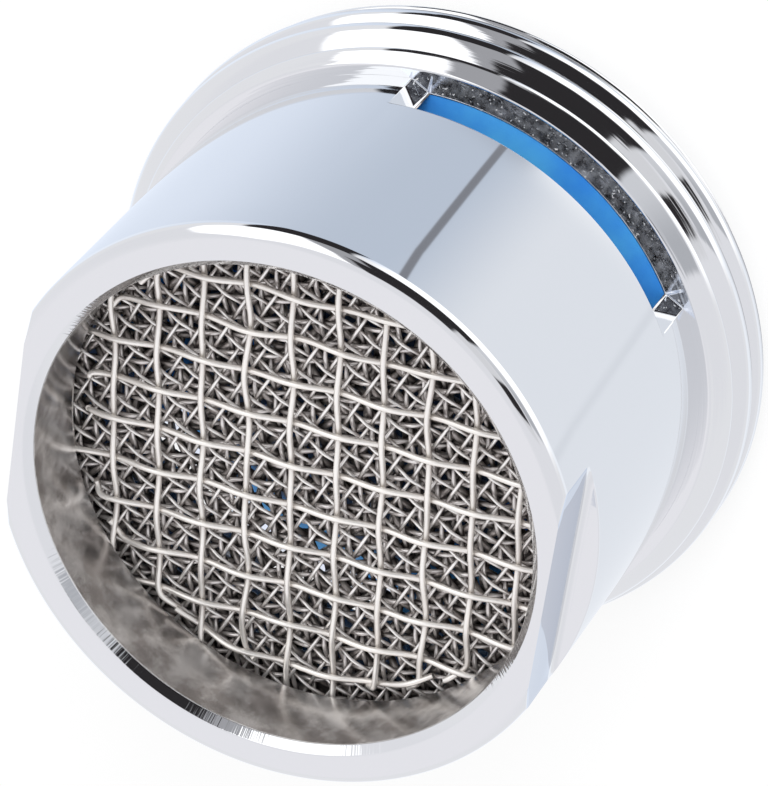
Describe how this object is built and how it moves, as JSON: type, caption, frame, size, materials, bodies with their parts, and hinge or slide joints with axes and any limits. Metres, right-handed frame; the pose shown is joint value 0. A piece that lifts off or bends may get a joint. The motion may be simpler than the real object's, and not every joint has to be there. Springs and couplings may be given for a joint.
{
  "type": "tap aerator",
  "caption": "Round chromed tap aerator with a male threaded collar, air slots below it, wrench flats at the outlet rim and woven wire screens behind the rim.",
  "frame": {"origin": "centre of the sealing washer's face at the inlet end, on the part's axis", "axes": "+Z along the part's axis towards the outlet, +X through the middle of one air slot"},
  "size_m": [0.0238, 0.0238, 0.0161],
  "materials": {
    "chromed_brass": "polished chrome plate on brass",
    "steel_wire": "drawn stainless wire",
    "steel_ring": "plain stainless strip",
    "blue_plastic": "moulded acetal",
    "black_rubber": "matt rubber"
  },
  "bodies": {
    "root": {"housing": "chromed_brass", "outlet_screen": "steel_wire", "fine_screen_1": "steel_wire", "fine_screen_2": "steel_wire", "fine_screen_3": "steel_wire", "fine_screen_4": "steel_wire", "screen_ring": "steel_ring", "jet_disc": "blue_plastic", "inlet_strainer": "steel_wire", "sealing_washer": "black_rubber"}
  },
  "joints": []
}
